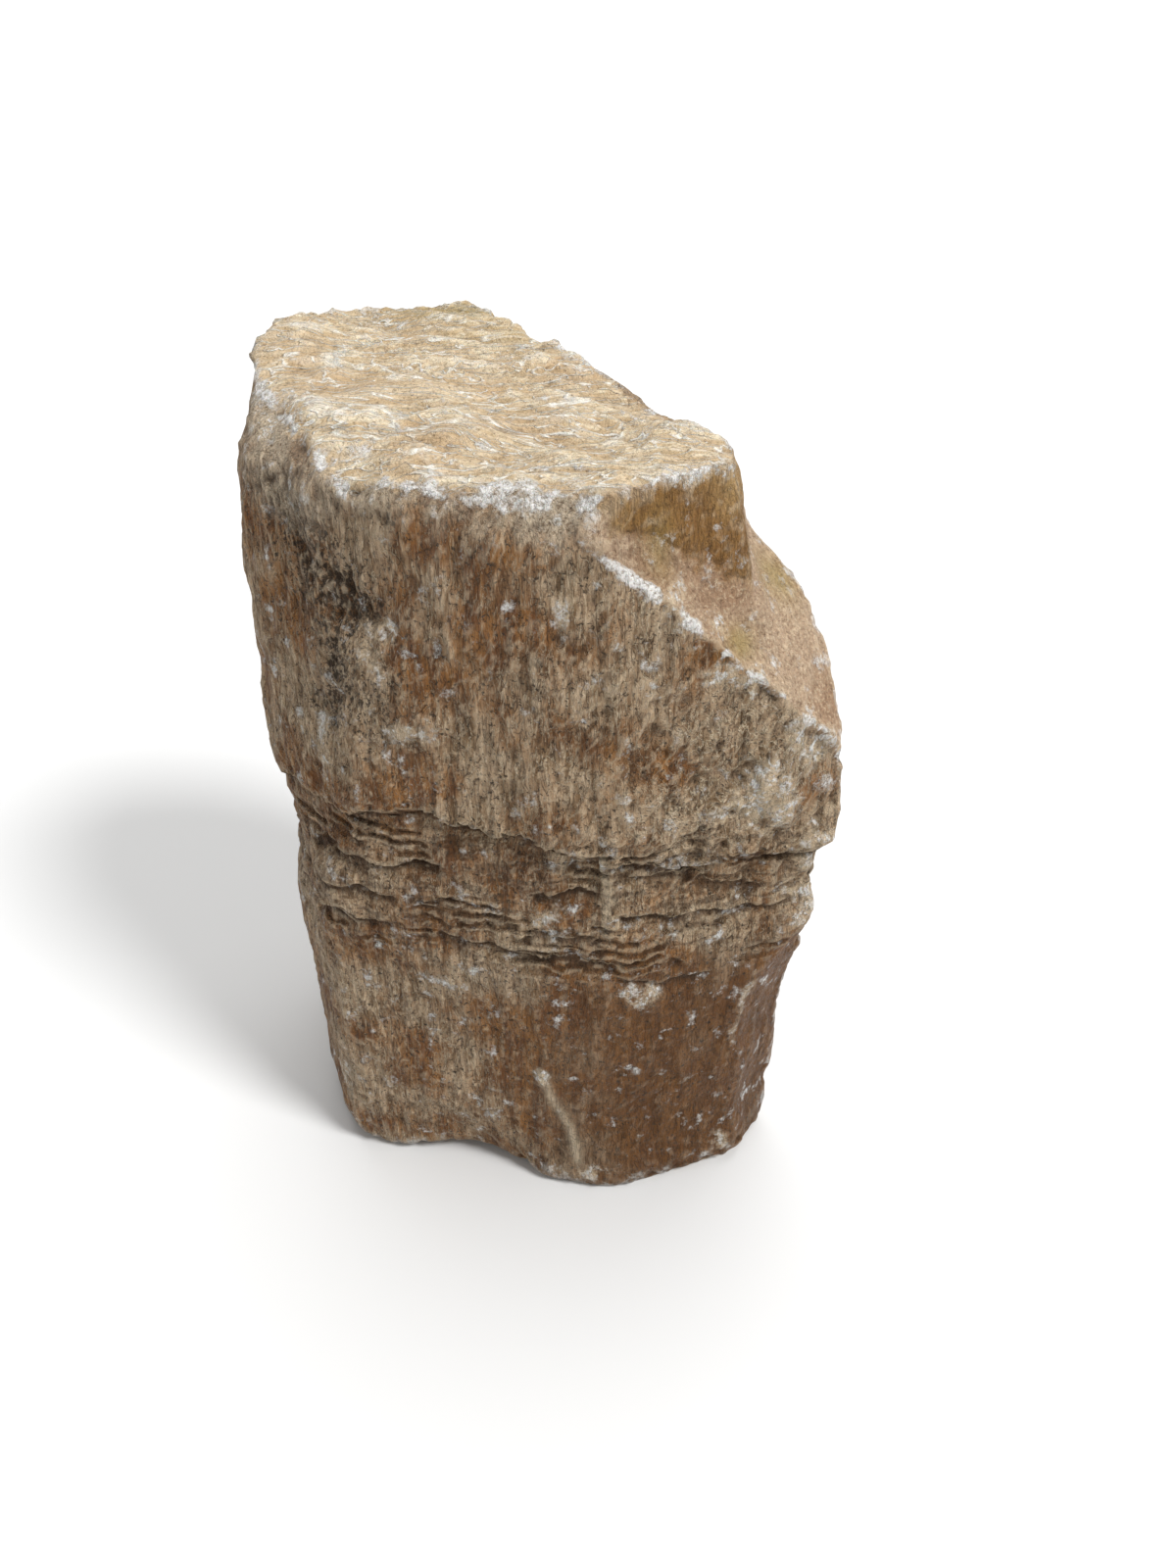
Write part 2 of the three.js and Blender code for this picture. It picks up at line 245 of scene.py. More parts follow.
def body(p):
    """The block of faces without its breaks. Like every field here, it is negative inside the stone."""
    depth = np.full(len(p), -REACH)
    for azimuth, tilt, through, rounding in FACES.values():
        depth = rounded_max(depth, plane(p, azimuth, tilt, through), rounding)
    for name, (_, _, inner, rim) in BREAKS.items():
        wall, floor = broken(p, name)
        depth = rounded_max(depth, rounded_min(wall, floor, inner), rim)
    return depth


def lattice(cell, seed):
    """Numbers from 0 to 1 that depend on whole coordinates and a seed alone."""
    x, y, z = cell.astype(np.int64).T
    mixed = (x * STIR_X + y * STIR_Y + z * STIR_Z + seed * STIR) & ALL_BITS
    mixed = ((mixed ^ (mixed >> 13)) * STIR) & ALL_BITS
    mixed = ((mixed ^ (mixed >> 16)) * STIR_AGAIN) & ALL_BITS
    return ((mixed ^ (mixed >> 15)) & LOW_BITS) / LOW_BITS


def noise(p, size, seed):
    """Smooth noise from -1 to 1. The size of its features is one number or one for each axis."""
    q = p / np.array(size, float) + SEED_SHIFT * seed
    cell = np.floor(q)
    t = q - cell
    t = t * t * t * (t * (6 * t - 15) + 10)
    total = 0
    for i in (0, 1):
        for j in (0, 1):
            for k in (0, 1):
                share = (t[:, 0] if i else 1 - t[:, 0]) * (t[:, 1] if j else 1 - t[:, 1])
                share = share * (t[:, 2] if k else 1 - t[:, 2])
                total = total + share * lattice(cell + [i, j, k], seed)
    return 2 * total - 1


def layered(p, size, seed, layers=3, keep=0.5):
    """Noise in layers, each with features half as big as the last and weaker by the share it keeps."""
    total, weight, size = 0, 1, np.array(size, float)
    for i in range(layers):
        total = total + weight * noise(p, size, seed + i)
        weight *= keep
        size = size * 0.5
    return total


def pits(p, size, seed):
    """0 away from pits and 1 at the middle of one. They are scattered, one to a cell of the given size."""
    q = p / size
    cell = np.floor(q)
    best = np.full(len(p), np.inf)
    for i in (-1, 0, 1):
        for j in (-1, 0, 1):
            for k in (-1, 0, 1):
                c = cell + [i, j, k]
                place = np.stack([lattice(c, seed + n) for n in range(3)], 1)
                best = np.minimum(best, ((c + place - q) ** 2).sum(1))
    return np.clip(1 - np.sqrt(best) / PIT_RADIUS, 0, 1)


def at_lip(ledge, azimuth, height):
    """How far each point lies below a ledge's lip, and 1 along the ledge, fading to 0 at its ends."""
    start, at, to, ending, _, _ = ledge
    along = (azimuth - start + BEFORE_LEDGE) % 360 - BEFORE_LEDGE
    length = to - start
    shown = smooth(along, 0, LEDGE_END) * smooth(length - along, 0, LEDGE_END)
    ripple = sum(rise * np.sin(azimuth / width + shift * at) for rise, width, shift in RIPPLES)
    return at + (ending - at) * along / length + ripple - height, shown


def set_back(p, height):
    """How far the ledges set the skin back. height stands in for z, so that a lip can wander."""
    total = np.zeros(len(p))
    inside = (p[:, 2] > BELT[0]) & (p[:, 2] < BELT[1])
    q, z = p[inside], height[inside]
    azimuth = np.degrees(np.arctan2(q[:, 0], -q[:, 1]))
    part = np.zeros(len(q))
    for ledge in ALL_LEDGES:
        *_, depth, run = ledge
        below, shown = at_lip(ledge, azimuth, z)
        part += depth * shown * np.clip(below / LIP_HEIGHT, 0, 1) * np.clip(1 - below / run, 0, 1)
    total[inside] = part
    return total


def hollows(p):
    return sum(depth * near(p, centre, radius) for centre, radius, depth in HOLLOWS)


def waves(p):
    total = 0
    for i in range(WAVES):
        up = 1 - 2 * (i + 0.5) / WAVES
        turn = 2 * math.pi * i * GOLDEN
        flat = math.sqrt(1 - up * up)
        along = p @ np.array([flat * math.cos(turn), flat * math.sin(turn), up])
        length = LONGEST_WAVE * WAVE_SHRINK ** i
        height = WAVE_HEIGHT * length ** WAVE_POWER
        total = total + height * np.sin(2 * math.pi * along / length + WAVE_SHIFT * i)
    return total


def wandering(p):
    """The height that the ledges go by, which wanders a little so that no lip is straight."""
    return p[:, 2] + 0.9 * noise(p, 7, 3) + 0.5 * noise(p, (2.6, 2.6, 5), 4)


def skin(p):
    """The whole stone as a field, cut off flat at the floor."""
    return np.maximum(body(p) + hollows(p) + set_back(p, wandering(p)) + waves(p), -p[:, 2])


def crossing(direction, low, high, field):
    """How far from the heart each ray leaves the field, between the distances low and high."""
    for _ in range(CROSSING_ROUNDS):
        middle = (low + high) / 2
        outside = field(HEART + direction * middle[:, None]) > 0
        high = np.where(outside, middle, high)
        low = np.where(outside, low, middle)
    return (low + high) / 2


def divided_box():
    """The corners of a finely divided box round the heart, and its four-cornered patches."""
    last = np.array(DIVISIONS)
    index = np.stack(np.meshgrid(*[np.arange(k + 1) for k in last], indexing="ij"), -1)
    shell = ((index == 0) | (index == last)).any(-1)
    number = np.full(shell.shape, -1)
    number[shell] = np.arange(shell.sum())
    place = 2 * index[shell] / last - 1
    place[:, 2] *= 1 - BELT_CROWDING + BELT_CROWDING * place[:, 2] ** 2
    corners = HEART + place * BOX / 2
    sides = [
        (number[0].T, number[-1]),
        (number[:, 0], number[:, -1].T),
        (number[:, :, 0].T, number[:, :, -1]),
    ]
    patches = [
        np.stack([side[:-1, :-1], side[1:, :-1], side[1:, 1:], side[:-1, 1:]], -1).reshape(-1, 4)
        for pair in sides for side in pair
    ]
    return corners, np.concatenate(patches)


class Surface:
    """A mesh as arrays, with what is measured on it."""

    def __init__(self, points, patches):
        self.points = points
        self.patches = patches
        edges = np.concatenate([patches[:, [i, (i + 1) % 4]] for i in range(4)])
        self.start, self.end = np.concatenate([edges, edges[:, ::-1]]).T
        self.count = np.bincount(self.start, minlength=len(points)).astype(float)

    def averaged(self, values, rounds):
        """The values, each evened out with those of its neighbours a number of times."""
        flat = values if values.ndim == 2 else values[:, None]
        for _ in range(rounds):
            around = np.stack([
                np.bincount(self.start, column[self.end], len(self.points)) for column in flat.T
            ], 1)
            flat = 0.5 * flat + 0.5 * around / self.count[:, None]
        return flat if values.ndim == 2 else flat[:, 0]

    def normals(self):
        a, b, c, d = (self.points[self.patches[:, i]] for i in range(4))
        area = np.cross(c - a, d - b)
        total = np.zeros_like(self.points)
        for i in range(4):
            for axis in range(3):
                total[:, axis] += np.bincount(self.patches[:, i], area[:, axis], len(self.points))
        return total / np.linalg.norm(total, axis=1, keepdims=True)

    def bulge(self, rounds):
        """How far each point stands out, in millimetres, from the average of the surface about it."""
        return ((self.points - self.averaged(self.points, rounds)) * self.normals()).sum(1)


corners, patches = divided_box()
direction = corners - HEART
direction /= np.linalg.norm(direction, axis=1, keepdims=True)
rough = crossing(direction, np.zeros(len(corners)), np.full(len(corners), REACH), body)
exact = crossing(direction, rough - SKIN_BAND, rough + SKIN_BAND, skin)
stone = Surface(HEART + direction * exact[:, None], patches)


def faces_depth(p, names):
    """How far each point lies out of the named faces, which is negative inside them all."""
    depth = np.full(len(p), -REACH)
    for name in names:
        azimuth, tilt, through, _ = FACES[name]
        depth = np.maximum(depth, plane(p, azimuth, tilt, through))
    return depth


CORNER = "upper right corner"
CORNER_ROUNDING = BREAKS[CORNER][2]
TOP_BEVELS = ("front top bevel", "left top bevel")
OTHER_FACES = [name for name in FACES if name not in (*TOP_BEVELS, "top")]

# Where each kind of surface is: how far out of the faces each point lies, then shares from 0 to 1.
p = stone.points
normals = stone.normals()
rim_bulge = stone.bulge(28)
azimuth = np.degrees(np.arctan2(p[:, 0], -p[:, 1]))
ragged = 0.8 * noise(p, 5, 90) + 0.5 * noise(p, 2.2, 91)
faces_level = faces_depth(p, FACES)
top_level = faces_depth(p, ["top"])
bevel_level = faces_depth(p, TOP_BEVELS)
other_level = faces_depth(p, OTHER_FACES)
round_top = np.maximum(bevel_level, other_level)
chip_wall, chip_floor = broken(p, CORNER)
chip = rounded_min(chip_wall, chip_floor, CORNER_ROUNDING) - faces_level
chipped = smooth(chip + 0.5 * ragged, -0.9, 0.5)
chip_slope = chipped * smooth(chip_wall - chip_floor + 4 + 3 * ragged, -2, 2)
top = smooth(top_level - round_top + 1.6 * ragged, -1.2, 1.2) * (1 - chipped)
bevel = smooth(bevel_level - other_level + 2 * ragged, -3, 2) * (1 - top) * (1 - chipped)
side = smooth(1 - np.abs(normals[:, 2]), 0.2, 0.5) * (1 - chipped) * (1 - top) * (1 - 0.7 * bevel)
belt = smooth(p[:, 2], 92, 108) * smooth(-p[:, 2], -158, -146) * side
low = smooth(-p[:, 2], -118, -84) * side


def spots(places, most=1.0):
    """The places given as (centre, radii, strength), each fading out over its radii, up to a limit."""
    return np.clip(sum(strength * near(p, centre, radii) for centre, radii, strength in places), 0, most)


DARK_PITS = [
    ((-70, -35, 238), (9, 11, 8), 1.0),
    ((-64, -40, 234), (5, 6, 7), 0.6),
    ((-50, -53, 216), (8, 8, 8), 1.0),
    ((-55, -53, 196), (5, 8, 12), 0.9),
    ((-60, -51, 182), (4, 8, 8), 0.7),
    ((-37, -60, 240), (2, 3, 2), 0.8),
    ((-40, 60, 190), (16, 12, 22), 0.8),
    ((-84, 20, 170), (12, 20, 26), 0.8),
    ((-61, -45, 222), (9, 9, 14), 0.8),
    ((-44, -59, 190), (5, 6, 12), 0.5),
]
pitted = spots(DARK_PITS) * (1 - top)
base = smooth(-p[:, 2], -2.5, -0.2)


def meeting(a, b, width):
    """1 where two surfaces meet, and 0 where one lies well over a width above the other."""
    return np.exp(-((a - b) / width) ** 2)


top_rim = meeting(top_level, round_top, 1.5) * (1 - chipped)
wall_rim = meeting(top_level, chip_wall, 1.3) * smooth(chip_floor - chip_wall, 0, 2)
slope_edge = meeting(faces_level, chip_floor, 1.2) * smooth(chip_wall - chip_floor, 0, 2)
wall_foot = meeting(chip_wall, chip_floor, 3) * chipped


def strand(path, width):
    """1 along a line through the given points, and 0 a width away from it."""
    best = np.full(len(p), np.inf)
    for a, b in zip(np.array(path[:-1], float), np.array(path[1:], float)):
        t = np.clip((p - a) @ (b - a) / ((b - a) @ (b - a)), 0, 1)
        best = np.minimum(best, ((p - a - t[:, None] * (b - a)) ** 2).sum(1))
    return np.exp(-best / width ** 2)


# Lines on the stone, as (path, width).
VEIN = [(13.5, -68, 150), (15, -69, 140), (15.5, -69, 128), (15, -69, 117), (20, -69, 103)], 0.8
RIDGE = [(-5, -67, 55), (-1, -68, 42), (4, -68, 30), (7, -67, 12)], 1.8
FLANK = [(63, -59, 98), (58, -60, 82), (55.5, -61, 62)], 2.2
CRACKS = [
    ([(-52, -58, 98), (-40, -62, 86), (-31, -64, 62)], 1.0),
    ([(-58, -55, 52), (-44, -60, 47), (-26, -66, 50)], 0.9),
    ([(20, -68, 56), (42, -63, 48)], 1.0),
]
# Single places in the relief, as (centre, radii), and the last two with a height after them.
BACK_PEAK = (-34, 58, 256), (22, 14, 12)
LOW_CORNER = (-85, 54, 252), (12, 12, 10), -3.5
LEFT_SWELLING = (-84, -14, 143), (10, 26, 6), 2.2

# The relief, in millimetres out along the surface.
swirl = p + 10 * np.stack([noise(p, 30, 50 + i) for i in range(3)], 1)
swirl = swirl @ np.array([[0.95, 0.31, 0], [-0.31, 0.95, 0], [0, 0, 1.0]])
sheaf = layered(swirl, (34, 8, 12), 20)
shingle = (sheaf * 1.8) % 1
strands = (1 - np.abs(noise(swirl, (30, 4.6, 12), 24))) ** 3
hills = layered(p, (26, 19, 26), 80, 2)
back_peak = near(p, *BACK_PEAK)
splinters = 2.6 * hills * (1 - back_peak) + 0.9 * sheaf + 0.8 * shingle + 1.2 * strands - 2.4 * back_peak
fibres = 0.5 * noise(p, (2.7, 2.7, 13), 30) + 0.4 * noise(p, (5.5, 5.5, 24), 31)
flaking = layered(p, (12, 12, 15), 34, 4, 0.6)
steps = np.floor(flaking * 3) / 3
flakes = 1.8 * (0.8 * steps + 0.2 * flaking)
hackly = np.clip(0.35 + 0.9 * near(p, (50, -62, 165), (36, 24, 34)) + 0.5 * pitted, 0, 1.2)
layers_at = p[:, 2] + 2.2 * noise(p, 18, 40) + 0.8 * noise(p, 5, 41)
lips = (layers_at / 4.1) % 1
thin_lips = -1.3 * (1 - smooth(lips, 0.0, 0.8)) * smooth(noise(p, (16, 16, 7), 42), 0.05, 0.5)
rough_rim = smooth(rim_bulge, 0.35, 1.3)
bites = -1.7 * smooth(layered(p, 7, 44, 2), 0.05, 0.8) * rough_rim * (1 - 0.7 * chipped)
speckle = -1.6 * pits(p, 3.4, 60) * pitted
speckle -= 0.9 * pits(p, 4.6, 64) * smooth(noise(p, 22, 65), 0.15, 0.7) * side
broad = 0.8 * layered(p, 24, 70, 2)
grit = 0.3 * noise(p, 2.3, 72) + 0.12 * noise(p, 1.3, 73)
relief = broad + bites + speckle + grit * (1 - 0.5 * top)
relief += top * splinters + side * (fibres + 1.3 * flakes * hackly * (1 - 0.6 * low)) + belt * thin_lips
relief += bevel * flakes * 0.7
for centre, radii, height in (LOW_CORNER, LEFT_SWELLING):
    relief += height * near(p, centre, radii)
wall_grain = 0.3 * noise(p, (2.6, 2.6, 9), 48) * (1 - chip_slope)
relief += chipped * (0.6 * layered(p, 11, 46, 3) + wall_grain)

vein = strand(*VEIN)
ridge = strand(*RIDGE)
flank = strand(*FLANK)
cracks = sum(strand(path, width) for path, width in CRACKS)
relief += 1.3 * vein + 1.1 * ridge - 0.7 * cracks + 1.0 * wall_foot
relief *= 1 - base

stone.points = p + normals * relief[:, None]
stone.points[:, 2] = np.maximum(stone.points[:, 2], 0)
stone.points[base > 0.98, 2] = 0

# What the colours follow, from 0 to 1, or to STRONGEST for bruises and frost.
STRONGEST = 1.5
# A painted highlight goes onto the high points.
high_points = smooth(stone.bulge(2), -0.25, 0.25)
# Painted shade goes into the crevices, where the surface lies below its surroundings.
crevice_shade_mask = smooth(-stone.bulge(7), 0.05, 0.7)
worn = smooth(stone.bulge(26), 0.3, 1.6) * (1 - 0.75 * belt)
rims = (0.9 * top_rim + wall_rim + 1.2 * slope_edge) * smooth(layered(p, 8, 95, 3), -0.7, 0.25)
rims += 1.3 * near(p, (-5.8, -62.5, 247), (9, 5, 3.5)) - 0.6 * near(p, (12, -62, 249), (9, 6, 5))

BRUISES = [
    ((-5.8, -62.5, 247), (10, 5, 3.5), 1.4),
    ((-36, -54, 247), (5, 4, 3), 1.0),
    ((-74, -15, 248), (6, 10, 4), 1.0),
    ((-50, -42, 249), (7, 8, 3), 0.7),
    ((14, -60, 250), (12, 4, 3), 0.4),
    ((36, -54, 249), (12, 5, 2.5), 1.2),
    ((45, -46, 249), (7, 8, 3), 1.1),
    ((22, -15, 250), (6, 6, 3), 0.8),
    ((10, 4, 251), (8, 6, 3), 0.7),
    ((-68, -3, 252), (8, 12, 4), 0.5),
    ((30.5, -65, 221), (3, 5, 6), 1.2),
    ((42, -61, 212), (5, 4, 3), 1.1),
    ((54, -62, 195), (7, 5, 7), 1.0),
    ((67, -59, 181), (6, 5, 6), 0.9),
    ((74, -57, 173), (4, 5, 5), 1.2),
    ((60, -62, 165), (9, 6, 11), 1.5),
    ((54, -64, 158), (9, 6, 6), 1.3),
    ((32, -67, 196), (6, 5, 3), 0.8),
    ((43, -65, 200), (7, 5, 3), 0.8),
    ((26, -67, 92), (5, 5, 5), 1.2),
    ((-6, -68, 124), (7, 5, 6), 0.9),
    ((23, -71, 155), (4, 4, 2), 1.0),
    ((-5, -67, 54), (2.6, 4, 2.6), 1.5),
    ((4, -70, 222), (2, 5, 8), 0.8),
    ((-38, -63, 182), (6, 5, 5), 0.8),
    ((-41, -59, 210), (3, 5, 4), 0.9),
    ((-45, -59, 204), (4, 5, 6), 0.8),
    ((-62, -51, 166), (3, 5, 16), 0.8),
    ((-74, -43, 33), (6, 10, 14), 0.7),
    ((10, -69, 8), (12, 6, 4), 0.7),
    ((55, -59, 12), (4, 5, 5), 0.8),
    ((73, -56, 120), (6, 8, 14), 0.7),
    ((75, -57, 145), (6, 8, 6), 0.7),
    ((-86, 30, 230), (8, 14, 10), 0.7),
    ((-20, 66, 236), (16, 8, 8), 0.7),
    ((34, 30, 150), (12, 10, 10), 0.6),
    ((20, 42, 60), (14, 10, 12), 0.6),
]
FROSTED = [
    ((-50, -59, 190), (9, 6, 14), 1.0),
    ((-28, -62, 242), (22, 9, 7), 1.0),
    ((9, -69, 230), (8, 6, 7), 0.9),
    ((22, -67, 214), (9, 6, 14), 0.9),
    ((-12, -70, 174), (15, 6, 9), 0.9),
    ((26, -69, 160), (14, 6, 9), 0.8),
    ((70, -56, 125), (10, 8, 24), 0.9),
    ((-60, -50, 60), (14, 14, 34), 0.6),
    ((58, -62, 163), (20, 10, 24), 0.8),
    ((40, -64, 150), (18, 10, 10), 0.6),
]
CLEAR = [
    ((-23, -64, 236), (7, 6, 6), 1.0),
    ((-35, -61, 208), (6, 6, 12), 1.0),
    ((-18, -66, 213), (8, 6, 8), 1.0),
    ((-37, -63, 164), (11, 6, 4), 1.0),
    ((6, -69, 240), (10, 6, 8), 0.9),
    ((-2, -70, 212), (9, 6, 9), 0.8),
    ((48, -64, 189), (10, 6, 6), 0.9),
    ((75, -57, 164), (5, 6, 7), 1.0),
    ((46, -61, 27), (20, 9, 24), 1.0),
    ((60, -56, 60), (8, 14, 34), 0.9),
    ((33, -69, 173), (8, 6, 6), 0.7),
    ((8, -70, 78), (16, 8, 12), 0.6),
]
BROWN_SLOPE = [
    ((44, -50, 217), (9, 8, 5), 1.0),
    ((76, -48, 182), (8, 10, 9), 1.0),
    ((34, -61, 224), (5, 5, 8), 0.6),
]
OLIVE_PLACES = [
    ((-32, 54, 256), (22, 9, 10), 1.0),
    ((61, -31, 211), (9, 8, 7), 1.0),
    ((26, -60, 232), (4, 5, 10), 0.8),
    ((48, -58, 206), (7, 5, 4), 1.2),
    ((0, 34, 252), (40, 12, 6), 0.4),
]
# The lip depth from which the painted shadow under a lip is at its darkest.
DARKEST_LIP = 2
whitened = spots(BRUISES, STRONGEST) + 0.3 * vein + 0.25 * ridge + 0.6 * flank + 0.5 * cracks


def painted_lip_shadows(height):
    """Painted shadow close under each lip, as dark as it gets from a lip depth of DARKEST_LIP on."""
    dark = np.zeros(len(height))
    for ledge in ALL_LEDGES:
        *_, depth, _ = ledge
        below, shown = at_lip(ledge, azimuth, height)
        lip_shadow = shown * min(1, depth / DARKEST_LIP) * smooth(below, -0.5, 0.8)
        dark = np.maximum(dark, lip_shadow * (1 - smooth(below, 1.0, 4.5)))
    return dark


shade = {
    "top": top,
    "bevel": bevel,
    "chip_slope": chip_slope,
    "chip_wall": np.clip(chipped - chip_slope, 0, 1),
    "belt": belt,
    "low": low * smooth(azimuth, -25, 25) * smooth(-azimuth, -165, -110),
    "dark_pits": pitted,
    "hackly": np.clip(hackly - 0.35, 0, 1) * side,
    "high": high_points,
    "painted_crevice_shade": crevice_shade_mask,
    "painted_lip_shadow": painted_lip_shadows(wandering(p)) * (1 - top),
    "worn": worn,
    "bruise": np.clip(whitened, 0, STRONGEST),
    "olive": spots(OLIVE_PLACES),
    "frosted": spots(FROSTED, STRONGEST) * side,
    "clear": spots(CLEAR),
    "brown_slope": spots(BROWN_SLOPE),
    "vein": np.clip(vein + 0.6 * ridge, 0, 1),
    "rim": np.clip(rims, 0, 1),
    "wall_foot": wall_foot,
    "splinter": smooth(strands + 0.2 * sheaf, 0.3, 0.95) * top,
}

mesh = bpy.data.meshes.new("calcite")
points = (stone.points - FOOTPRINT_MIDDLE) * MM
mesh.from_pydata(points.tolist(), [], stone.patches.tolist())
mesh.validate()
mesh.update()
mesh.shade_smooth()
for name, values in shade.items():
    layer = mesh.attributes.new(name, "FLOAT", "POINT")
    layer.data.foreach_set("value", values.astype(np.float32))
block = bpy.data.objects.new("calcite_surface", mesh)
bpy.context.scene.collection.objects.link(block)
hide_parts("calcite_block")
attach(block, "root")


class Shader:
    """Short ways to add nodes to one material."""

    def __init__(self, name):
        self.material = bpy.data.materials.new(name)
        self.material.use_nodes = True
        self.nodes = self.material.node_tree.nodes
        self.links = self.material.node_tree.links
        self.surface = self.nodes["Principled BSDF"]

    def put(self, socket, value):
        """Links another socket to this one, or sets its value."""
        if isinstance(value, bpy.types.NodeSocket):
            self.links.new(value, socket)
        else:
            socket.default_value = value

    def attribute(self, name):
        node = self.nodes.new("ShaderNodeAttribute")
        node.attribute_name = name
        return node.outputs["Fac"]

    def place(self, stretch=(1, 1, 1)):
        """The point in the object's own metres, times a stretch. A small stretch makes long features."""
        node = self.nodes.new("ShaderNodeMapping")
        node.inputs["Scale"].default_value = stretch
        self.links.new(self.nodes.new("ShaderNodeTexCoord").outputs["Object"], node.inputs["Vector"])
        return node.outputs["Vector"]

    def noise(self, where, scale, detail, roughness, distortion=0.0, result="Fac"):
        node = self.nodes.new("ShaderNodeTexNoise")
        self.links.new(where, node.inputs["Vector"])
        node.inputs["Scale"].default_value = scale
        node.inputs["Detail"].default_value = detail
        node.inputs["Roughness"].default_value = roughness
        node.inputs["Distortion"].default_value = distortion
        return node.outputs[result]

    def warped(self, where, scale, reach):
        """The place, moved about by slow noise so that what is drawn there swirls."""
        shift = self.nodes.new("ShaderNodeVectorMath")
        shift.operation = "MULTIPLY_ADD"
        self.links.new(self.noise(where, scale, 2, 0.5, result="Color"), shift.inputs[0])
        shift.inputs[1].default_value = (reach, reach, reach)
        self.links.new(where, shift.inputs[2])
        return shift.outputs["Vector"]

    def crests(self, where, scale, detail, distortion, width):
        """1 along thin lines where the noise passes its middle value, and 0 away from them."""
        noise = self.noise(where, scale, detail, 0.6, distortion)
        away = self.math("ABSOLUTE", self.math("SUBTRACT", noise, 0.5))
        return self.ramp(away, width, 0.0)

    def math(self, kind, a, b=0.0):
        node = self.nodes.new("ShaderNodeMath")
        node.operation = kind
        self.put(node.inputs[0], a)
        self.put(node.inputs[1], b)
        return node.outputs[0]

    def times(self, a, b):
        return self.math("MULTIPLY", a, b)

    def ramp(self, value, low, high, start=0.0, end=1.0):
        """The start where the value is low and the end where it is high, with a smooth slope between."""
        node = self.nodes.new("ShaderNodeMapRange")
        node.interpolation_type = "SMOOTHSTEP"
        for name, number in (("From Min", low), ("From Max", high), ("To Min", start), ("To Max", end)):
            node.inputs[name].default_value = number
        self.put(node.inputs["Value"], value)
        return node.outputs["Result"]

    def mix(self, share, a, b):
        """Colour a with a share of colour b in it. This node has colours as inputs 6 and 7 and output 2."""
        node = self.nodes.new("ShaderNodeMix")
        node.data_type = "RGBA"
        self.put(node.inputs[0], share)
        self.put(node.inputs[6], a)
        self.put(node.inputs[7], b)
        return node.outputs[2]


def colour(red, green, blue):
    """A colour given as on a screen, from 0 to 255, turned into light."""
    def light(c):
        c /= 255
        return c / 12.92 if c <= 0.04045 else ((c + 0.055) / 1.055) ** 2.4
    return (light(red), light(green), light(blue), 1.0)


DARK = colour(70, 48, 28)
AMBER_DEEP = colour(112, 70, 33)
AMBER = colour(151, 104, 55)
HAZE_DARK = colour(132, 106, 76)
HAZE = colour(184, 158, 128)
TAN_LIGHT = colour(228, 207, 176)
WHITE = colour(244, 242, 238)
CREAM_DARK = colour(206, 181, 143)
CREAM = colour(238, 222, 192)
CREAM_LIGHT = colour(255, 252, 242)
CREAM_SHADOW = colour(150, 118, 82)
CREAM_BROWN = colour(200, 170, 132)
PIT = colour(56, 45, 33)
BEVEL_GREY = colour(192, 175, 152)
PINK_TAN = colour(184, 157, 130)
SLOPE_BROWN = colour(160, 126, 96)
LOW_AMBER_AND_SHADE = colour(100, 62, 20)
WALL_BROWN = colour(146, 107, 58)
WALL_TAN = colour(180, 146, 96)
OLIVE = colour(160, 138, 78)

s = Shader("calcite_stone")
plain = s.place()
upright = s.place((1, 1, 0.17))
tall = s.place((1, 1, 0.12))
flat_layers = s.place((0.4, 0.4, 1.6))
swirled = s.warped(s.place((0.25, 1.1, 1)), 26, 0.034)

patches = s.noise(plain, 42, 4, 0.5)
crust = s.noise(plain, 150, 8, 0.68)
streaks = s.noise(tall, 330, 4, 0.6, 0.3)
bands = s.noise(flat_layers, 240, 4, 0.6)
fine = s.noise(plain, 900, 4, 0.7)
flecks = s.noise(plain, 420, 4, 0.6, 0.4)
ticks = s.noise(upright, 1000, 3, 0.6, 0.6)
grit = s.noise(plain, 820, 3, 0.62, 0.5)
fibre_lines = s.crests(upright, 480, 3, 0.5, 0.024)
gap_lines = s.crests(upright, 330, 2, 0.9, 0.022)
flake_lines = s.crests(s.place((1, 1, 0.7)), 230, 4, 0.7, 0.03)
splinter_lines = s.noise(swirled, 330, 4, 0.6)
wide_crests = s.crests(swirled, 120, 1.5, 0.0, 0.02)
fine_crests = s.crests(swirled, 260, 1.5, 0.0, 0.03)

is_top = s.attribute("top")
is_bevel = s.attribute("bevel")
is_slope = s.attribute("chip_slope")
is_wall = s.attribute("chip_wall")
is_belt = s.attribute("belt")
is_low = s.attribute("low")
is_pitted = s.attribute("dark_pits")
is_hackly = s.attribute("hackly")
is_high = s.attribute("high")
is_painted_crevice_shade = s.attribute("painted_crevice_shade")
is_painted_lip_shadow = s.attribute("painted_lip_shadow")
is_worn = s.attribute("worn")
is_bruise = s.attribute("bruise")
is_olive = s.attribute("olive")
is_frosted = s.attribute("frosted")
is_clear = s.attribute("clear")
is_brown = s.attribute("brown_slope")
is_vein = s.attribute("vein")
is_rim = s.attribute("rim")
is_wall_foot = s.attribute("wall_foot")
is_splinter = s.attribute("splinter")

